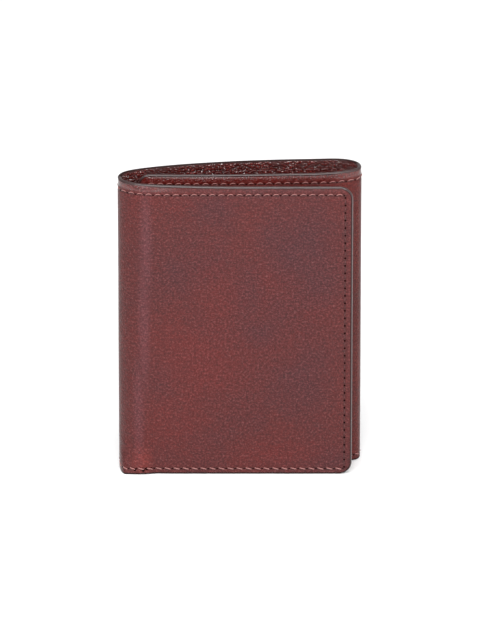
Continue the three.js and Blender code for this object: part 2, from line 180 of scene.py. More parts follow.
# The strip is cut into pieces, one per pair of neighbouring bodies. "first" and "second" name
# the bodies and "start" and "end" the runs of full hold, though nothing here bends a piece; "low"
# and "high" bound the piece (all runs).
Pair = namedtuple("Pair", "first second start end low high")
PAIRS = {
    "front": Pair("left_fold", "front_flap", LEFT_MID, LEFT_START - FOLD_REACH, -9, LEFT_MID),
    "left": Pair("back_panel", "left_fold", LEFT_END + FOLD_REACH, LEFT_MID, LEFT_MID, BACK_MID),
    "right": Pair("back_panel", "right_fold", RIGHT_START - FOLD_REACH, RIGHT_MID,
                  BACK_MID, RIGHT_MID),
    "inner": Pair("right_fold", "inner_flap", RIGHT_MID, RIGHT_END + FOLD_REACH,
                  RIGHT_MID, END + 9)}


def attach(obj, pair, body):
    """Bakes the object's transform into its mesh when it belongs to a pair, or rides one body."""
    if pair:
        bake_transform(obj)
    else:
        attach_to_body(obj, body)


# ------------------------------------------------------------------ mesh helpers
def set_developed_uv(mesh, run_z):
    layer = mesh.uv_layers.new(name="developed")
    corners = np.zeros(len(mesh.loops), np.int32)
    mesh.loops.foreach_get("vertex_index", corners)
    layer.data.foreach_set("uv", (run_z[corners] / 300.0).astype(np.float32).ravel())


def make_mesh(name, sites, faces, materials, face_materials, normals=None):
    mesh = bpy.data.meshes.new(name)
    mesh.from_pydata(place_sites(sites).tolist(), [], faces)
    for material in materials:
        mesh.materials.append(material)
    mesh.polygons.foreach_set("material_index", np.asarray(face_materials, np.int32))
    mesh.polygons.foreach_set("use_smooth", np.ones(len(mesh.polygons), bool))
    set_developed_uv(mesh, sites[:, :2])
    if normals is not None:
        mesh.normals_split_custom_set_from_vertices(normals.tolist())
    mesh.update()
    obj = bpy.data.objects.new(name, mesh)
    bpy.context.scene.collection.objects.link(obj)
    return obj


def vertex_normals(points, faces):
    mesh = bpy.data.meshes.new("tmp")
    mesh.from_pydata(points.tolist(), [], faces.tolist())
    mesh.update()
    normals = np.zeros(len(points) * 3, np.float32)
    mesh.vertices.foreach_get("normal", normals)
    bpy.data.meshes.remove(mesh)
    return normals.reshape(-1, 3)


def as_function(value):
    return value if callable(value) else lambda run: np.full(np.shape(run), float(value))


def flat(run, z):
    return 0.0


def thinned(values, decimals, gap):
    """Sorted values with any closer than the gap left out; the last always stays."""
    values = np.unique(np.round(np.array(values), decimals))
    kept = [values[0]]
    for value in values[1:]:
        if value - kept[-1] > gap or value == values[-1]:
            kept.append(value)
    return np.array(kept)


def corner_inset(distance, radius):
    gap = np.clip(radius - distance, 0, radius)
    return radius - np.sqrt(radius * radius - gap * gap)


def quads(*corners):
    return np.stack(corners, -1).reshape(-1, 4)


OUTSIDE, INSIDE, RIM, RIM_SHADED = range(4)   # material places of a slab
RIM_STEPS = 8                                 # strips round the half-circle edge
NEAR_EDGE = 0.18                              # extra row and column this far inside


def slab(run_a, run_b, outer, inner, bottom_z, top_z, radius_a, radius_b, step,
         seam_rows=False, press=flat, roll=flat, extra=()):
    """A sheet between two depths with rounded edges and corners: sites, faces, materials.
    Depths and heights may be numbers or functions of run."""
    outer, inner, bottom_z, top_z = map(as_function, (outer, inner, bottom_z, top_z))
    middle = np.array([(run_a + run_b) / 2])
    half = float((inner(middle) - outer(middle))[0]) / 2
    start, end = run_a + half, run_b - half
    curve_a, curve_b = radius_a - half, radius_b - half

    turn = 1 - np.cos(np.linspace(0, math.pi / 2, 13))
    runs = thinned([*np.linspace(start, end, int(round((end - start) / step)) + 1),
                    *(start + curve_a * turn), start + NEAR_EDGE,
                    *(end - curve_b * turn), end - NEAR_EDGE,
                    *[run for run in extra if start < run < end]], 4, 0.03)
    inset = np.maximum(corner_inset(runs - start, curve_a), corner_inset(end - runs, curve_b))
    low, high = bottom_z(runs) + half + inset, top_z(runs) - half - inset

    bottom = float(bottom_z(middle)[0])
    span = float(top_z(middle)[0]) - bottom - 2 * half
    rows = [0, NEAR_EDGE, span - NEAR_EDGE, span, *np.arange(1.4, span - 1.0, 1.5)]
    if seam_rows:
        for seam in (LOW - bottom - half, HIGH - bottom - half):
            rows += list(np.arange(seam - 1.5, seam + 1.51, 0.25))
    shares = thinned([row for row in rows if 0 <= row <= span], 3, 0.1) / span

    shape = (len(shares), len(runs))
    size = shape[0] * shape[1]
    run_grid = np.broadcast_to(runs, shape)
    z_grid = low[None] + shares[:, None] * (high - low)[None]
    outer_grid, inner_grid = (np.broadcast_to(side(runs), shape) for side in (outer, inner))
    sites = [np.stack([run_grid, z_grid, depth], -1).reshape(-1, 3) for depth in
             (outer_grid + press(run_grid, z_grid), inner_grid + roll(run_grid, z_grid))]
    grid = np.arange(size).reshape(shape)
    cells = quads(grid[:-1, :-1], grid[:-1, 1:], grid[1:, 1:], grid[1:, :-1])
    # seen from outside, run goes right to left on the front, so the outer face is reversed
    faces = [cells[:, ::-1], cells + size]
    kinds = [np.full(len(cells), OUTSIDE), np.full(len(cells), INSIDE)]

    # the rim follows the boundary: foot, end b, head, end a
    path = np.r_[grid[0], grid[1:, -1], grid[-1, -2::-1], grid[-2:0:-1, 0]]
    base = sites[0][path, :2]
    along = np.roll(base, -1, 0) - np.roll(base, 1, 0)
    along /= np.maximum(np.linalg.norm(along, axis=1, keepdims=True), 1e-9)
    outward = np.stack([along[:, 1], -along[:, 0]], -1)
    edge_out, edge_in = outer_grid.reshape(-1)[path], inner_grid.reshape(-1)[path]
    rings = [path]
    for k in range(1, RIM_STEPS):
        angle = math.pi * k / RIM_STEPS
        depth = (edge_out + edge_in) / 2 - (edge_in - edge_out) / 2 * math.cos(angle)
        sites.append(np.column_stack([base + outward * half * math.sin(angle), depth]))
        rings.append(2 * size + (k - 1) * len(path) + np.arange(len(path)))
    rings.append(path + size)
    sites = np.vstack(sites)
    for k, (ring, following) in enumerate(zip(rings[:-1], rings[1:])):
        faces.append(quads(ring, np.roll(ring, -1), np.roll(following, -1), following))
        run, z = sites[ring, 0], sites[ring, 1]
        # painted shade: the darker, unglossed edge dressing round the back and along the foot
        shaded = (run > 84) & (run < 172) | (z < 3)
        if k == 0:
            kinds.append(np.full(len(ring), RIM_SHADED))
        elif k == RIM_STEPS - 1:
            kinds.append(np.full(len(ring), INSIDE))
        else:
            kinds.append(np.where(shaded, RIM_SHADED, RIM))
    return sites, np.vstack(faces), np.concatenate(kinds)


def sheet(prefix, arrays, materials, pairs=(), body=None):
    """Makes one object per body pair, or one riding object, from a slab's arrays."""
    sites, faces, kinds = arrays
    normals = vertex_normals(place_sites(sites), faces)
    mean_run = sites[faces][:, :, 0].mean(1)
    made = []
    for pair in (pairs or [None]):
        chosen = np.ones(len(faces), bool)
        if pair:
            chosen = (mean_run >= PAIRS[pair].low) & (mean_run < PAIRS[pair].high)
        used, local = np.unique(faces[chosen], return_inverse=True)
        obj = make_mesh(f"{prefix}_{pair}" if pair else prefix, sites[used],
                        local.reshape(-1, 4).tolist(), materials, kinds[chosen], normals[used])
        attach(obj, pair, body)
        made.append(obj)
    return made


# ------------------------------------------------------------------ shader helper
class Shader:
    """A material and the helpers that wire its procedural nodes."""

    def __init__(self, name):
        self.material = bpy.data.materials.new(name)
        self.material.use_nodes = True
        self.tree = self.material.node_tree
        self.bsdf = self.tree.nodes["Principled BSDF"]

    def new(self, kind, **props):
        node = self.tree.nodes.new(kind)
        for key, value in props.items():
            setattr(node, key, value)
        return node

    def put(self, node, inputs):
        """Links or sets inputs, given by place or name."""
        for key, value in inputs.items():
            if isinstance(value, bpy.types.NodeSocket):
                self.tree.links.new(value, node.inputs[key])
            else:
                node.inputs[key].default_value = value

    def surface(self, **inputs):
        self.put(self.bsdf, {key.replace("_", " "): value for key, value in inputs.items()})
        return self.material

    def math(self, operation, first, second=0.0, clamp=False):
        node = self.new("ShaderNodeMath", operation=operation, use_clamp=clamp)
        self.put(node, {0: first, 1: second})
        return node.outputs[0]

    def vector(self, operation, **inputs):
        """Vector math; a and b are the first two inputs."""
        node = self.new("ShaderNodeVectorMath", operation=operation)
        self.put(node, {{"a": 0, "b": 1}.get(key, key): v for key, v in inputs.items()})
        return node.outputs["Value" if operation == "LENGTH" else "Vector"]

    def coords(self):
        """Millimetres along the strip, and up."""
        uv = self.new("ShaderNodeUVMap", uv_map="developed")
        return self.vector("SCALE", a=uv.outputs[0], Scale=300.0)

    def split(self, vector):
        node = self.new("ShaderNodeSeparateXYZ")
        self.put(node, {0: vector})
        return node.outputs[0], node.outputs[1]

    def noise(self, vector, scale, detail=3.0, rough=0.55, distort=0.0):
        node = self.new("ShaderNodeTexNoise")
        self.put(node, {"Vector": vector, "Scale": scale, "Detail": detail,
                        "Roughness": rough, "Distortion": distort})
        return node.outputs[0]

    def voronoi(self, vector, scale, feature="F1"):
        node = self.new("ShaderNodeTexVoronoi", feature=feature)
        self.put(node, {"Vector": vector, "Scale": scale})
        return node.outputs["Distance"]

    def ramp(self, factor, stops):
        node = self.new("ShaderNodeValToRGB")
        self.put(node, {0: factor})
        elements = node.color_ramp.elements
        while len(elements) > 1:
            elements.remove(elements[-1])
        elements[0].position, elements[0].color = stops[0]
        for position, color in stops[1:]:
            elements.new(position).color = color
        return node.outputs[0]

    def mix(self, factor, first, second, mode="MIX"):
        node = self.new("ShaderNodeMix", data_type="RGBA", blend_type=mode)
        self.put(node, {0: factor, 6: first, 7: second})
        return node.outputs[2]

    def remap(self, value, low, high, to_low=0.0, to_high=1.0, curve="LINEAR"):
        node = self.new("ShaderNodeMapRange", interpolation_type=curve)
        self.put(node, {"Value": value, "From Min": low, "From Max": high,
                        "To Min": to_low, "To Max": to_high})
        return node.outputs[0]

    def bump(self, height, strength, distance, normal=None):
        node = self.new("ShaderNodeBump")
        self.put(node, {"Height": height, "Strength": strength, "Distance": distance})
        if normal is not None:
            self.put(node, {"Normal": normal})
        return node.outputs[0]

    def patch(self, vector, run, z, half_run, half_z):
        """1 at (run, z), fading out over half_run by half_z millimetres."""
        offset = self.vector("SUBTRACT", a=vector, b=(run, z, 0))
        scaled = self.vector("DIVIDE", a=offset, b=(half_run, half_z, 1))
        return self.remap(self.vector("LENGTH", a=scaled), 0.0, 1.0,
                          to_low=1.0, to_high=0.0, curve="SMOOTHERSTEP")

    def patches(self, vector, spots, spread=1.0):
        """Strongest of several (run, z, half run, half z[, strength]) patches."""
        total = 0.0
        for run, z, half_run, half_z, *strength in spots:
            spot = self.patch(vector, run, z, half_run * spread, half_z * spread)
            if strength:
                spot = self.math("MULTIPLY", spot, strength[0])
            total = self.math("MAXIMUM", total, spot)
        return total

    def mottled(self, vector, spots, spread, scale, lift):
        """Patches broken up by noise."""
        total = self.patches(vector, spots, spread)
        noise = self.noise(vector, scale=scale, detail=5.0, rough=0.65)
        broken = self.math("ADD", self.math("MULTIPLY", noise, 1.5), lift)
        return self.math("MULTIPLY", total, broken, clamp=True)


def rgb(*levels):
    """sRGB levels of 0-255 to linear colour."""
    return (*(((c / 255 + 0.055) / 1.055) ** 2.4 if c > 10 else c / 255 / 12.92
              for c in levels), 1.0)


# ------------------------------------------------------------------ leather
# Antiquing patches: (run, z, half run, half z, strength)
DARK_SPOTS = (
    (18, 85, 15, 17, 0.75), (25, 88, 10, 9, 0.6), (11, 73, 9, 13, 0.6), (31, 53.5, 9, 7, 0.6),
    (26, 61, 5, 9, 0.4), (35.5, 69, 7, 13, 0.5), (47, 99, 9, 7, 0.6), (15, 34, 8, 17, 0.5),
    (62.5, 73, 8, 8, 0.35), (8, 6, 10, 6, 0.4))
RED_SPOTS = ((53.5, 44, 18, 18, 0.8), (62, 20, 16, 14, 0.7), (25, 8, 19, 6, 0.75),
             (47, 69, 10, 20, 0.35))
# Painted sheen: a paler stretch painted along the line where the left fold starts, standing in for a
# highlight; without strengths
PAINTED_SHEEN_SPOTS = ((70.4, 86, 3.6, 40), (71.2, 56, 3.6, 44), (73.2, 24, 3.4, 34))


def furrow_grime_and_shade(shader, coords):
    """Soft dark line in the furrow the seam is pulled into: partly grime, partly painted shade."""
    run, z = shader.split(coords)
    half_width, strength, overrun = 0.55, 0.62, 0.4

    def line(axis, at):
        distance = shader.math("ABSOLUTE", shader.math("SUBTRACT", axis, at))
        return shader.math("SUBTRACT", 1.0, shader.math("DIVIDE", distance, half_width),
                           clamp=True)

    def within(axis, low, high):
        return shader.math("MULTIPLY", shader.math("GREATER_THAN", axis, low - overrun),
                           shader.math("LESS_THAN", axis, high + overrun))

    inside_run = within(run, INSET, END - INSET)
    inside_z = within(z, LOW, HIGH)
    rows = shader.math("MULTIPLY", shader.math("MAXIMUM", line(z, HIGH), line(z, LOW)),
                       inside_run)
    columns = shader.math(
        "MULTIPLY", shader.math("MAXIMUM", line(run, FRONT_SEAM), line(run, END - INSET)),
        inside_z)
    return shader.math("MULTIPLY", shader.math("MAXIMUM", rows, columns), strength)


def antiqued_and_sheened(shader, coords, base, red, dark):
    """Dye darker and cooler in broad soft patches, redder in others, with a painted sheen where the
    left fold starts.
    """
    darker = shader.mottled(coords, DARK_SPOTS, spread=1.5, scale=0.16, lift=0.35)
    base = shader.mix(darker, base, dark)
    redder = shader.mottled(coords, RED_SPOTS, spread=1.4, scale=0.13, lift=0.3)
    base = shader.mix(redder, base, red)
    fold_foot = shader.patch(coords, run=72, z=5.5, half_run=6, half_z=8)
    base = shader.mix(shader.math("MULTIPLY", fold_foot, 0.45), base, rgb(112, 34, 26))
    # painted highlight: a paler stretch standing in for the sheen along the fold's start
    painted_sheen = shader.math("MULTIPLY", shader.patches(coords, PAINTED_SHEEN_SPOTS), 0.26)
    return shader.mix(painted_sheen, base, rgb(100, 60, 68))


def leather_material(name, red, mid, dark, grain=1.0, rough=0.36, antique_and_painted_light=True, painted_glints=0.22):
    shader = Shader(name)
    coords = shader.coords()
    cloud = shader.noise(coords, scale=0.045, detail=5.0, rough=0.6, distort=0.4)
    fine = shader.noise(coords, scale=0.55, detail=4.0, rough=0.65)
    speck = shader.noise(coords, scale=1.35, detail=3.0, rough=0.75)
    base = shader.ramp(cloud, [(0.18, dark), (0.50, mid), (0.80, red)])
    if antique_and_painted_light:
        base = antiqued_and_sheened(shader, coords, base, red, dark)
    tone = shader.ramp(fine, [(0.30, (0.82, 0.80, 0.80, 1)), (0.52, (1.0, 1.0, 1.0, 1)),
                              (0.72, (1.18, 1.16, 1.15, 1))])
    base = shader.mix(1.0, base, tone, "MULTIPLY")
    spots = shader.ramp(speck, [(0.36, (0.56, 0.50, 0.50, 1)), (0.5, (1, 1, 1, 1)),
                                (0.64, (1.28, 1.34, 1.34, 1))])
    base = shader.mix(1.0, base, spots, "MULTIPLY")
    # painted highlight: pale specks mixed in where the speck noise is high, standing in for glints
    # off the grain
    glint_paint = shader.remap(speck, low=0.53, high=0.72, to_high=painted_glints)
    base = shader.mix(glint_paint, base, rgb(158, 108, 108))
    if antique_and_painted_light:
        # grime and painted shade along the seam furrows
        base = shader.mix(furrow_grime_and_shade(shader, coords), base, rgb(38, 11, 11))

    # the upper edge is burnished, least on the front flap
    uneven = shader.noise(coords, scale=0.25, detail=4.0, rough=0.6)
    roughness = shader.math("ADD", shader.math("MULTIPLY", uneven, 0.22), rough - 0.11)
    run, z = shader.split(coords)
    gloss = shader.math("MULTIPLY", shader.remap(z, low=105.0, high=106.0, curve="SMOOTHSTEP"),
                        shader.remap(run, low=58.0, high=69.0, to_low=0.12, curve="SMOOTHSTEP"))
    roughness = shader.math("SUBTRACT", roughness, shader.math("MULTIPLY", gloss, 0.24))

    # calf grain: small irregular cells and pores over long faint waves
    cells = shader.voronoi(coords, scale=1.9)
    small_cells = shader.voronoi(coords, scale=4.2)
    pores = shader.noise(coords, scale=5.5, detail=3.0, rough=0.7)
    waves = shader.noise(coords, scale=0.09, detail=3.0, rough=0.5, distort=0.6)
    height = shader.math("ADD", shader.math("MULTIPLY", cells, 0.5),
                         shader.math("MULTIPLY", small_cells, 0.25))
    height = shader.math("ADD", height, shader.math("MULTIPLY", pores, 0.45))
    wavy = shader.bump(waves, strength=0.35, distance=0.0022)
    return shader.surface(
        Base_Color=base, Roughness=roughness, Specular_IOR_Level=0.24,
        Coat_Weight=shader.math("ADD", gloss, 0.03), Coat_Roughness=0.18,
        Normal=shader.bump(height, strength=0.8 * grain, distance=0.00034, normal=wavy))


# ------------------------------------------------------------------ other materials
def lining_material(name):
    """Glossy pebbled leather with dark cracks between the pebbles."""
    shader = Shader(name)
    coords = shader.coords()
    drift = shader.new("ShaderNodeTexNoise")
    shader.put(drift, {"Vector": coords, "Scale": 0.9})
    shift = shader.vector("SCALE", a=drift.outputs[1], Scale=0.6)
    warped = shader.vector("ADD", a=coords, b=shift)
    pebbles = shader.voronoi(warped, scale=1.05, feature="SMOOTH_F1")
    edges = shader.voronoi(warped, scale=1.05, feature="DISTANCE_TO_EDGE")
    tint = shader.noise(coords, scale=0.2, detail=3.0, rough=0.6)
    base = shader.ramp(tint, [(0.3, rgb(62, 14, 12)), (0.55, rgb(84, 23, 20)),
                              (0.75, rgb(104, 36, 32))])
    crack = shader.ramp(edges, [(0.0, (0.45, 0.4, 0.4, 1)), (0.10, (1, 1, 1, 1))])
    dome = shader.math("SUBTRACT", 1.0, shader.math("POWER", pebbles, 1.6))
    pit = shader.math("MINIMUM", shader.math("MULTIPLY", edges, 6.0), 1.0)
    height = shader.math("ADD", shader.math("MULTIPLY", dome, 0.6),
                         shader.math("MULTIPLY", pit, 0.5))
    relief = shader.bump(height, strength=1.0, distance=0.0008)
    return shader.surface(
        Base_Color=shader.mix(1.0, base, crack, "MULTIPLY"), Roughness=0.20,
        Specular_IOR_Level=0.6, Coat_Weight=1.0, Coat_Roughness=0.09,
        Normal=relief, Coat_Normal=relief)


def edge_material(name):
    shader = Shader(name)
    coords = shader.coords()
    tint = shader.noise(coords, scale=1.2, detail=4.0, rough=0.6)
    relief = shader.noise(coords, scale=2.6, detail=3.0, rough=0.6)
    return shader.surface(
        Base_Color=shader.ramp(tint, [(0.3, rgb(34, 16, 16)), (0.7, rgb(52, 27, 26))]),
        Roughness=0.34, Coat_Weight=0.42, Coat_Roughness=0.16,
        Normal=shader.bump(relief, strength=0.25, distance=0.00015))


def thread_material(name, light, dark):
    """Twisted thread: diagonal bands."""
    shader = Shader(name)
    wave = shader.new("ShaderNodeTexWave", wave_type="BANDS", bands_direction="DIAGONAL")
    shader.put(wave, {"Vector": shader.coords(), "Scale": 2.4, "Distortion": 0.6})
    twist = wave.outputs["Fac"]
    return shader.surface(
        Base_Color=shader.ramp(twist, [(0.1, dark), (0.55, light)]), Roughness=0.5,
        Sheen_Weight=0.2, Normal=shader.bump(twist, strength=0.5, distance=0.00008))


def film_material(name):
    shader = Shader(name)
    coords = shader.new("ShaderNodeTexCoord").outputs["Object"]
    ripple = shader.noise(coords, scale=60.0, detail=2.0, rough=0.5)
    return shader.surface(
        Base_Color=(0.86, 0.88, 0.9, 1), Roughness=0.12, Alpha=0.28, Coat_Weight=0.6,
        Normal=shader.bump(ripple, strength=0.3, distance=0.0006))


OUTER = leather_material("burgundy_calf", red=rgb(79, 19, 17), mid=rgb(71, 19, 18),
                         dark=rgb(61, 21, 25))
# Painted shade: a darker, more saturated copy of the shell leather for the inner flap, which lies in
# shade between the back panel and the front flap
INNER_FLAP_SHADE = leather_material("burgundy_calf_inner_flap_painted_shade", red=rgb(86, 14, 6), mid=rgb(74, 11, 6),
                        dark=rgb(62, 12, 9), painted_glints=0.12)
POCKET = leather_material("pocket_leather", red=rgb(88, 32, 30), mid=rgb(78, 28, 27),
                          dark=rgb(64, 27, 28), grain=1.2, rough=0.42, antique_and_painted_light=False)
LINING = lining_material("pebble_lining")
EDGE = edge_material("dressed_edge")
# Painted shade: a darker, unglossed copy of the edge dressing, for the rim round the back and along
# the foot, also used for the thin dark line where the rim meets the outer face
EDGE_PAINTED_SHADE = Shader("dressed_edge_painted_shade").surface(
    Base_Color=rgb(34, 14, 13), Roughness=0.55, Specular_IOR_Level=0.12)
POCKET_EDGE = edge_material("pocket_edge")
THREAD = thread_material("seam_thread", light=rgb(160, 106, 100), dark=rgb(110, 60, 58))
THREAD_DIM = thread_material("seam_thread_shaded", light=rgb(92, 42, 40), dark=rgb(62, 24, 24))
# Painted shade: flat dark discs laid just above the surface stand in for the shadow inside the
# needle holes
HOLE_PAINTED_SHADE = Shader("needle_hole_painted_shade").surface(
    Base_Color=rgb(20, 5, 5), Specular_IOR_Level=0.0, Roughness=0.8)
FILM = film_material("window_film")
POCKET_MATERIALS = [POCKET, POCKET, POCKET_EDGE, POCKET_EDGE]

# ------------------------------------------------------------------ surface relief
rng = np.random.default_rng(7)
# each wave: rate along the run, rate up, phase, strength
WAVES = [(rng.uniform(0.03, 0.16), rng.uniform(0.03, 0.13), rng.uniform(0, 6.28),
          rng.uniform(0.4, 1.0)) for _ in range(9)]


def undulate(run, z):
    return 0.022 * sum(
        strength * np.sin(run_rate * run + z_rate * z * (1 if i % 2 else -1) + phase)
        for i, (run_rate, z_rate, phase, strength) in enumerate(WAVES))


def shell_press(run, z):
    """How far the outer face lies below its plan: seam furrows, gentle waves, creases."""
    along = (run > INSET - 0.3) & (run < END - INSET + 0.3)
    up = (z > LOW - 0.3) & (z < HIGH + 0.3)
    press = 0.13 * (bell(z, HIGH, 0.55) + bell(z, LOW, 0.55)) * along
    press = press + 0.13 * (bell(run, FRONT_SEAM, 0.55) + bell(run, END - INSET, 0.55)) * up
    # between a seam and the edge the leather is pinched and slopes down slightly
    margin = np.minimum(np.minimum(z, HEIGHT - z), np.minimum(run, END - run))
    press = press + 0.05 * (1 - smooth(0.5, 3.2, margin))
    # the leather rolls over just under its upper edge, most on the inner flap and left fold
    roll = 0.10 + 0.40 * bell(run, 71.5, 4.5) + 0.34 * smooth(176, 184, run)
    below = np.clip((head(run) - 0.6 - z) / 1.1, 0, 1)
    press = press + roll * (1 - below) ** 2
    press = press + undulate(run, z) * smooth(0.0, 5.0, margin)
    # fan of creases at the foot of the left fold
    fan_run, fan_z = run - 71.0, z - 3.0
    angle, radius = np.arctan2(fan_z, fan_run), np.hypot(fan_run, fan_z)
    fan = bell(radius, 7.5, 5.0) * smooth(0.15, 0.6, angle) * (1 - smooth(2.3, 2.8, angle))
    press = press + 0.16 * fan * np.sin(angle * 15 + 0.6 * np.sin(radius))
    return np.maximum(press, -0.12)


def lining_roll(run, z):
    """The lining is turned and rolled a little just inside the upper and lower edges."""
    roll = 0.42 * bell(z, 106.2, 0.60) + 0.2 * bell(z, 2.2, 0.55)
    roll = roll - 0.10 * (bell(z, HIGH, 0.45) + bell(z, LOW, 0.45))
    side = smooth(1.2, 3.0, run) * smooth(1.2, 3.0, END - run)
    return (roll + 0.25 * undulate(run * 1.3 + 40, z)) * side


# ------------------------------------------------------------------ the shell
upright_seam = np.arange(1.6, 4.6, 0.25)   # close columns across each upright seam
shell = slab(0, END, 0.0, SHELL, foot, head, radius_a=4.5, radius_b=4.0, step=0.7,
             seam_rows=True, press=shell_press, roll=lining_roll,
             extra=[*upright_seam, *(END - upright_seam), LEFT_MID, BACK_MID, RIGHT_MID])
shell_parts = sheet("leather_shell", shell, [OUTER, LINING, EDGE, EDGE_PAINTED_SHADE], pairs=PAIRS)
SHELL_PANELS = [["front"], ["left_fold", "back"], ["right_fold"], ["inner"]]
for part, panels in zip(shell_parts, SHELL_PANELS):
    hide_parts(*[f"{panel}_{layer}" for panel in panels
                        for layer in ("outer_leather", "lining")])
# the inner flap takes the painted-shade copy of the shell leather
shell_parts[-1].data.materials[0] = INNER_FLAP_SHADE

# ------------------------------------------------------------------ bill divider
SEAM_DEPTH, FOLD_DEPTH, FLAT_DEPTH = 1.45, 1.90, 2.20   # divider: at seams, folds, front flap
DIVIDER, CARD_GAP, LEAF = 0.45, 0.8, 0.42               # divider, gap and pocket leaf thickness
PLY_GAP = 0.05                                          # between leaves stitched together
LAYER_START, LAYER_FOOT = 0.5, 1.0
FRONT_POCKET_END = run_at_x(-20.5, 50, 70)
BACK_POCKET_START, BACK_POCKET_END = run_at_x(-24, 90, 115), run_at_x(35.2, 150, 168)
DIVIDER_END = BACK_POCKET_END + 0.4
# the divider is held at seam depth up to 2.4 from each end and lies free from 4.6
DIVIDER_BENDS = [LAYER_START + 2.4, LAYER_START + 4.6, DIVIDER_END - 4.6, DIVIDER_END - 2.4]


def divider_outer(run):
    stations = [LAYER_START, *DIVIDER_BENDS[:2], FRONT_POCKET_END, FRONT_POCKET_END + 3,
                *DIVIDER_BENDS[2:], DIVIDER_END]
    return np.interp(run, stations, [SEAM_DEPTH, SEAM_DEPTH, FLAT_DEPTH, FLAT_DEPTH,
                                     FOLD_DEPTH, FOLD_DEPTH, SEAM_DEPTH, SEAM_DEPTH])


divider = slab(LAYER_START, DIVIDER_END, divider_outer, lambda run: divider_outer(run) + DIVIDER,
               LAYER_FOOT, 101.0, radius_a=4.0, radius_b=1.0, step=1.0,
               extra=[LEFT_MID, BACK_MID, *DIVIDER_BENDS])
divider_parts = sheet("bill_divider", divider, POCKET_MATERIALS, pairs=["front", "left", "right"])
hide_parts("front_bill_divider")
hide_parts("left_fold_bill_divider", "back_bill_divider")

# ------------------------------------------------------------------ card pockets
# ends: runs; edges: depths under the stack at those ends; face: depth under its middle;
# lips: upper edge of each leaf, outermost leaf first
Stack = namedtuple("Stack", "ends edges face lips body radius")
STACKS = {
    "front": Stack((LAYER_START, FRONT_POCKET_END), (SEAM_DEPTH + DIVIDER, FLAT_DEPTH + DIVIDER),
                   FLAT_DEPTH + DIVIDER, {"upper": 90, "middle": 79, "lower": 68},
                   "front_flap", 3.6),
    "back": Stack((BACK_POCKET_START, BACK_POCKET_END),
                  (FOLD_DEPTH + DIVIDER, SEAM_DEPTH + DIVIDER),
                  FOLD_DEPTH + DIVIDER, {"upper": 88, "lower": 74}, "back_panel", 0.6)}


def pocket_stack(side, stack):
    start, end = stack.ends
    bends = [start + 2.0, start + 3.6, end - 3.6, end - 2.0]
    edge_a, edge_b = (edge + PLY_GAP for edge in stack.edges)
    level = stack.face + CARD_GAP
    for name, lip in stack.lips.items():
        depths = [edge_a, edge_a, level, level, edge_b, edge_b]

        def outer(run):
            return np.interp(run, [start, *bends, end], depths)

        leaf = slab(start, end, outer, lambda run: outer(run) + LEAF, LAYER_FOOT, lip,
                    radius_a=stack.radius, radius_b=0.6, step=1.2, extra=bends)
        obj = sheet(f"card_pocket_{side}_{name}", leaf, POCKET_MATERIALS, body=stack.body)[0]
        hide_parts(f"{side}_card_pocket_{name}")
        edge_a += LEAF + PLY_GAP
        edge_b += LEAF + PLY_GAP
        level += LEAF + CARD_GAP


for side, stack in STACKS.items():
    pocket_stack(side, stack)

# ------------------------------------------------------------------ stitching
# points: needle holes (run, z); surface: depth at (run, z); side: 1 on the outer face,
# -1 on the inner; slant and arch: sideways lean and bow; hole: radius of the dark painted-shade
# disc, or 0 for none
Row = namedtuple("Row", "points surface side slant radius rise hole arch", defaults=(0.0,))
CORD_RINGS, CORD_SIDES, HOLE_SIDES = 9, 6, 10


def cord(row, first, last):
    """One stitch, diving into a needle hole at both ends."""
    along = (last - first) / np.linalg.norm(last - first)
    across = np.array([-along[1], along[0]])
    start = first + along * 0.48 - across * row.slant
    end = last - along * 0.40 + across * row.slant
    way = (end - start) / np.linalg.norm(end - start)
    sideways = np.array([-way[1], way[0]])
    sites = []
    for i in range(CORD_RINGS):
        share = i / (CORD_RINGS - 1)
        swell = math.sin(math.pi * share)
        centre = start + (end - start) * share + across * row.arch * swell
        lift = -0.16 + row.rise * swell ** 0.55
        radius = row.radius * (0.55 + 0.45 * swell ** 0.5)
        for k in range(CORD_SIDES):
            angle = 2 * math.pi * k / CORD_SIDES
            spot = centre + sideways * radius * math.cos(angle)
            height = lift + radius * math.sin(angle)
            sites.append((*spot, row.surface(*spot) - row.side * height))
    faces = []
    for i in range(0, (CORD_RINGS - 1) * CORD_SIDES, CORD_SIDES):
        for k in range(CORD_SIDES):
            after = (k + 1) % CORD_SIDES
            faces.append((i + k, i + after, i + CORD_SIDES + after, i + CORD_SIDES + k)[::row.side])
    faces.append(tuple(range(CORD_SIDES))[::-row.side])
    faces.append(tuple(range((CORD_RINGS - 1) * CORD_SIDES, CORD_RINGS * CORD_SIDES))[::row.side])
    return sites, faces


# painted shade: a flat dark disc just above the surface, for the shadow inside a needle hole
def needle_hole_painted_shade(row, point):
    sites = [(*point, row.surface(*point) - row.side * 0.05)]
    for k in range(HOLE_SIDES):
        angle = 2 * math.pi * k / HOLE_SIDES
        spot = point + np.array([math.cos(angle), math.sin(angle)]) * row.hole
        sites.append((*spot, row.surface(*spot) - row.side * 0.015))
    faces = [(0, 1 + k, 1 + (k + 1) % HOLE_SIDES)[::row.side] for k in range(HOLE_SIDES)]
    return sites, faces


def add_stitches(name, rows, thread, body=None, pair=None, replaces=()):
    sites, faces, kinds = [], [], []

    def add(piece, kind):
        first = len(sites)
        sites.extend(piece[0])
        faces.extend(tuple(first + corner for corner in face) for face in piece[1])
        kinds.extend([kind] * len(piece[1]))

    for row in rows:
        points = np.array(row.points, float)
        for first, last in zip(points[:-1], points[1:]):
            add(cord(row, first, last), 0)
        if row.hole:
            for point in points:
                add(needle_hole_painted_shade(row, point), 1)
    sites = np.array(sites)
    obj = make_mesh(name, sites, faces, [thread, HOLE_PAINTED_SHADE], kinds)
    attach(obj, pair, body)
    if replaces:
        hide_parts(*replaces)


def outer_face(run, z):
    return float(shell_press(np.array([run]), np.array([z]))[0])


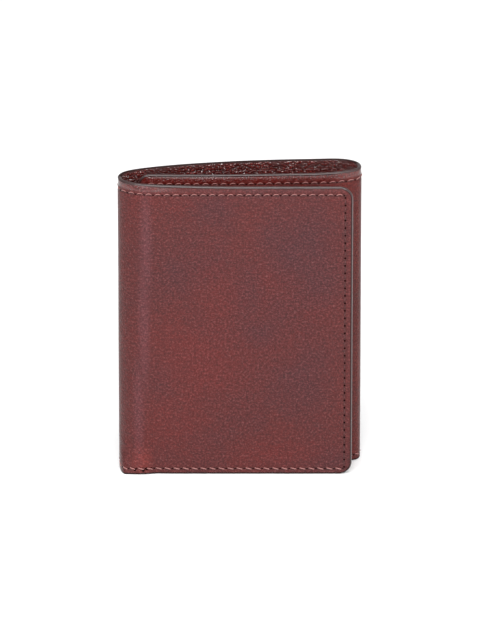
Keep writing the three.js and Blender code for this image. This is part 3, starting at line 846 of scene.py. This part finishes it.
def level_face(depth):
    return lambda run, z: depth


lining_face = level_face(SHELL)
stitch_count = int((END - 2 * INSET) / PITCH)
seam_runs = INSET + np.arange(stitch_count + 1) * ((END - 2 * INSET) / stitch_count)
column_heights = np.linspace(LOW + 0.6, HIGH - 0.8, 37)
SEAM_STYLES = {HIGH: dict(slant=-0.10, radius=0.16, rise=0.28, hole=0.27, arch=0.55),
               LOW: dict(slant=0.30, radius=0.20, rise=0.28, hole=0.25, arch=0.08)}
# upright seams: run, thread and style on the outer face
COLUMNS = {
    "front": (FRONT_SEAM, THREAD_DIM, dict(slant=0.04, radius=0.075, rise=0.13, hole=0.34)),
    "inner": (END - INSET, THREAD, dict(slant=0.10, radius=0.17, rise=0.26, hole=0.24))}
SEAM_REPLACES = {
    "front": ["front_edge_stitching"],
    "left": ["left_fold_stitching_top", "left_fold_stitching_bottom",
             "back_stitching_top", "back_stitching_bottom"],
    "right": ["right_fold_stitching_top", "right_fold_stitching_bottom"],
    "inner": ["inner_edge_stitching"]}

for pair, spec in PAIRS.items():
    # each piece takes over at its neighbour's last hole
    first = max((run for run in seam_runs if run < spec.low), default=spec.low)
    runs = [run for run in seam_runs if first <= run < spec.high]
    outside, inside = [], []
    for z, style in SEAM_STYLES.items():
        points = [(run, z) for run in runs]
        outside.append(Row(points, outer_face, 1, **style))
        inside.append(Row(points, lining_face, -1, slant=0.10, radius=0.13, rise=0.22,
                          hole=0.2, arch=0.4))
    add_stitches(f"seam_stitches_{pair}", outside, THREAD, pair=pair,
                 replaces=SEAM_REPLACES[pair])
    add_stitches(f"lining_stitches_{pair}", inside, THREAD_DIM, pair=pair)
    if pair in COLUMNS:
        column_run, thread, style = COLUMNS[pair]
        points = [(column_run, z) for z in column_heights]
        add_stitches(f"edge_stitches_{pair}",
                     [Row(points, outer_face, 1, **style),
                      Row(points, lining_face, -1, slant=0.05, radius=0.15, rise=0.28, hole=0)],
                     thread, pair=pair)

# four loose needle holes by the left fold's foot, drawn as painted-shade discs: (x, z)
END_HOLES = ((-35.9, 1.9), (-33.0, 1.7), (-31.9, 2.3), (-30.3, 2.2))
add_stitches("seam_end_holes",
             [Row([(run_at_x(x, 50, 78), z)], outer_face, 1, slant=0.0, radius=0.1, rise=0.1,
                  hole=0.52) for x, z in END_HOLES], HOLE_PAINTED_SHADE, pair="front")


def pocket_side_rows(stack):
    """Seams up both sides of a pocket stack, each length on the innermost leaf there."""
    rows = []
    cuts = [LAYER_FOOT, *reversed(stack.lips.values())]
    start, end = stack.ends
    for run, edge in zip((start + 1.1, end - 1.1), stack.edges):
        for k, (low, high) in enumerate(zip(cuts[:-1], cuts[1:])):
            leaves_under = len(stack.lips) - 1 - k
            depth = edge + PLY_GAP + leaves_under * (LEAF + PLY_GAP) + LEAF
            low, high = low + 1.2, high - 0.9
            count = max(2, int(round((high - low) / 2.8)) + 1)
            rows.append(Row([(run, z) for z in np.linspace(low, high, count)],
                            level_face(depth), -1, slant=0.03, radius=0.14, rise=0.27, hole=0.2))
    return rows


for side, stack in STACKS.items():
    add_stitches(f"pocket_stitches_{side}", pocket_side_rows(stack), THREAD, body=stack.body)


# ------------------------------------------------------------------ window pocket
def run_z_from_world(obj):
    """Developed coordinates of a frame node on the inner flap, read from its place."""
    points = np.array([v.co for v in obj.data.vertices]) * 1e3
    runs = np.linspace(180, END, 900)
    curve_x = on_curve(runs)[:, 0] + SHIFT[0]
    return np.array([(runs[np.argmin((curve_x - x) ** 2)], z) for x, _, z in points])


for name, material in (("id_window_frame", POCKET), ("id_window_film", FILM)):
    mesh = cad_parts[name].data
    mesh.materials.clear()
    mesh.materials.append(material)
    run_z = run_z_from_world(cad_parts[name])
    while mesh.uv_layers:
        mesh.uv_layers.remove(mesh.uv_layers[0])
    set_developed_uv(mesh, run_z)
    for polygon in mesh.polygons:
        polygon.use_smooth = False
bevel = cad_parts["id_window_frame"].modifiers.new("edge", "BEVEL")
bevel.width, bevel.segments = 0.00012, 2
bevel.limit_method, bevel.angle_limit = "ANGLE", math.radians(50)

WINDOW_MID = (run_at_x(31.5, 180, 200) + run_at_x(-28.5, 240, END)) / 2
SEAM_LEFT, SEAM_RIGHT = WINDOW_MID + 25, WINDOW_MID - 25
WINDOW_DEPTH = 2.83   # depth the window stitches lie on
corners = [(SEAM_RIGHT, 12), (SEAM_LEFT, 12), (SEAM_LEFT, 90), (SEAM_RIGHT, 90), (SEAM_RIGHT, 12)]
rows = []
for first, last in zip(corners[:-1], corners[1:]):
    count = int(round(math.dist(first, last) / 2.8))
    rows.append(Row(np.linspace(first, last, count + 1), level_face(WINDOW_DEPTH), -1,
                    slant=0.04, radius=0.14, rise=0.30, hole=0))
add_stitches("window_stitches", rows, THREAD, body="inner_flap", replaces=["id_window_stitching"])

# ------------------------------------------------------------------ studio (metres)
bpy.ops.mesh.primitive_plane_add(size=6.0, location=(0, 0, 0))
floor = bpy.context.object
floor.name = "floor"
floor.data.materials.append(Shader("paper_floor").surface(
    Base_Color=(0.93, 0.93, 0.93, 1), Roughness=0.9, Specular_IOR_Level=0.1))

world = bpy.data.worlds.new("studio")
bpy.context.scene.world = world
world.use_nodes = True
background = world.node_tree.nodes["Background"]
background.inputs["Color"].default_value = (1, 1, 1, 1)
background.inputs["Strength"].default_value = 0.55


def aim(obj, location, target):
    obj.location = location
    way = Vector(target) - Vector(location)
    obj.rotation_euler = way.to_track_quat("-Z", "Y").to_euler()
    bpy.context.scene.collection.objects.link(obj)


def area(name, location, aim_z, size, power, size_y=None):
    """Area light aimed at a height on the z axis."""
    light = bpy.data.lights.new(name, "AREA")
    light.energy, light.size = power, size
    if size_y:
        light.shape, light.size_y = "RECTANGLE", size_y
    aim(bpy.data.objects.new(name, light), location, (0, 0, aim_z))


area("key", (-0.42, -0.62, 0.80), aim_z=0.05, size=0.13, power=5.0)
area("front", (-0.12, -0.95, 0.58), aim_z=0.1, size=0.46, power=4.6, size_y=0.11)
area("fill", (0.8, -0.6, 0.5), aim_z=0.05, size=0.8, power=3.0)
area("top", (0.05, -0.30, 0.95), aim_z=0.1, size=0.5, power=4.2)
area("spark", (0.38, -0.88, 0.66), aim_z=0.1, size=0.13, power=4.5, size_y=0.08)

DISTANCE, ELEVATION = 3.0, math.radians(24)
VIEW_WIDTH = 0.16365   # width seen at the target
TARGET = Vector((0.00024, -0.01173, 0.0581))
lens = bpy.data.cameras.new("camera")
camera = bpy.data.objects.new("camera", lens)
back_off = Vector((0, -math.cos(ELEVATION) * DISTANCE, math.sin(ELEVATION) * DISTANCE))
aim(camera, TARGET + back_off, TARGET)
lens.sensor_fit = "HORIZONTAL"
lens.sensor_width = 36
lens.lens = 36 * DISTANCE / VIEW_WIDTH
lens.clip_end = 20
bpy.context.scene.camera = camera
bpy.context.scene.view_settings.view_transform = "Standard"
